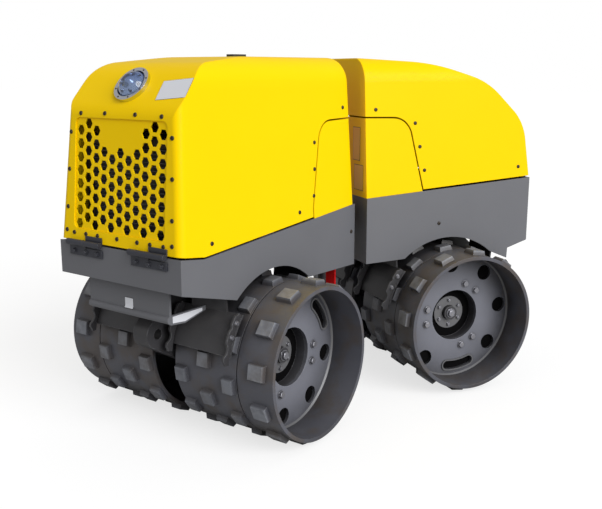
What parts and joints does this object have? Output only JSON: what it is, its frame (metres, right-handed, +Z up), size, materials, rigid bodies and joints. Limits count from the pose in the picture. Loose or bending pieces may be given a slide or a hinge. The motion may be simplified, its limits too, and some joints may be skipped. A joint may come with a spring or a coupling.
{
  "type": "articulated trench roller",
  "caption": "Remote-controlled articulated trench roller with lugged drums and extension rings, a steering and rolling pivot and two opening hoods.",
  "frame": {"origin": "middle of the stored footprint, on the ground", "axes": "+X towards the grille end of the front unit, +Y to its left, +Z up; stored steered to one lock, as parked"},
  "size_m": [1.7391, 1.1673, 1.1767],
  "materials": {
    "yellow_paint": "gloss yellow paint",
    "grey_paint": "satin grey paint",
    "drum_paint": "dark grey paint on cast and rolled steel",
    "ring_paint": "dark grey paint",
    "frame_paint": "dark grey paint",
    "lock_red": "red paint",
    "plated_steel": "zinc plated steel",
    "chromed_rod": "hard chrome",
    "engine_iron": "painted cast iron",
    "radiator_core": "black coated aluminium",
    "eye_lens": "clear bluish lens",
    "eye_rim": "polished ring",
    "black_plastic": "black moulded plastic"
  },
  "bodies": {
    "front_frame": {"front_chassis": "grey_paint", "front_carrier": "frame_paint", "front_inner_scrapers": "frame_paint", "front_outer_scrapers": "frame_paint", "front_panel": "yellow_paint", "front_hinge_base": "plated_steel", "engine_block": "engine_iron", "radiator": "radiator_core", "steering_fork": "frame_paint", "cylinder_foot": "frame_paint", "lock_bar": "lock_red"},
    "front_hood": {"front_hood": "yellow_paint", "front_grille": "yellow_paint", "front_hinge_leaf": "plated_steel", "receiver_ring": "eye_rim", "receiver_eye": "eye_lens", "hood_cap": "black_plastic"},
    "front_wheel_left": {"front_drum_left": "drum_paint", "front_ring_left": "ring_paint"},
    "front_wheel_right": {"front_drum_right": "drum_paint", "front_ring_right": "ring_paint"},
    "knuckle": {"centre_knuckle": "frame_paint"},
    "cylinder_barrel": {"steering_barrel": "frame_paint"},
    "cylinder_rod": {"steering_rod": "chromed_rod"},
    "rear_frame": {"rear_chassis": "grey_paint", "rear_carrier": "frame_paint", "rear_inner_scrapers": "frame_paint", "rear_outer_scrapers": "frame_paint", "rear_panel": "yellow_paint", "rear_hinge_base": "plated_steel", "roll_bearing": "frame_paint"},
    "rear_hood": {"rear_hood": "yellow_paint", "rear_hinge_leaf": "plated_steel"},
    "rear_wheel_left": {"rear_drum_left": "drum_paint", "rear_ring_left": "ring_paint"},
    "rear_wheel_right": {"rear_drum_right": "drum_paint", "rear_ring_right": "ring_paint"}
  },
  "joints": [
    {"name": "steer", "type": "hinge", "parent": "front_frame", "child": "knuckle", "pos_m": [-0.0344, -0.15368, 0.60674], "axis": [0, 0, 1], "range_deg": [0, 62]},
    {"name": "roll", "type": "hinge", "parent": "knuckle", "child": "rear_frame", "pos_m": [-0.0344, -0.15368, 0.60674], "axis": [0.8572, -0.515, 0], "range_deg": [-8, 8]},
    {"name": "front_hood_open", "type": "hinge", "parent": "front_frame", "child": "front_hood", "pos_m": [0.8606, -0.15368, 0.63074], "axis": [0, 1, 0], "range_deg": [0, 60]},
    {"name": "rear_hood_open", "type": "hinge", "parent": "rear_frame", "child": "rear_hood", "pos_m": [-0.74585, 0.27381, 0.73874], "axis": [-0.515, -0.8572, 0], "range_deg": [0, 60]},
    {"name": "barrel_swing", "type": "hinge", "parent": "front_frame", "child": "cylinder_barrel", "pos_m": [0.3656, -0.26367, 0.60674], "axis": [0, 0, 1], "range_deg": [0, 9.95]},
    {"name": "rod_slide", "type": "slide", "parent": "cylinder_barrel", "child": "cylinder_rod", "axis": [-0.9951, 0.0992, 0], "range_m": [-0.121, 0]},
    {"name": "front_left_turn", "type": "hinge", "parent": "front_frame", "child": "front_wheel_left", "pos_m": [0.4416, 0.04632, 0.25574], "axis": [0, 1, 0], "continuous": true},
    {"name": "front_right_turn", "type": "hinge", "parent": "front_frame", "child": "front_wheel_right", "pos_m": [0.4416, -0.35368, 0.25574], "axis": [0, 1, 0], "continuous": true},
    {"name": "rear_left_turn", "type": "hinge", "parent": "rear_frame", "child": "rear_wheel_left", "pos_m": [-0.33941, 0.26292, 0.25574], "axis": [0.515, 0.8572, 0], "continuous": true},
    {"name": "rear_right_turn", "type": "hinge", "parent": "rear_frame", "child": "rear_wheel_right", "pos_m": [-0.54542, -0.07995, 0.25574], "axis": [0.515, 0.8572, 0], "continuous": true}
  ],
  "couplings": [
    {"joint": "barrel_swing", "follows": "steer", "ratio": 0.15895},
    {"joint": "rod_slide", "follows": "steer", "m_per_rad": -0.11089}
  ]
}
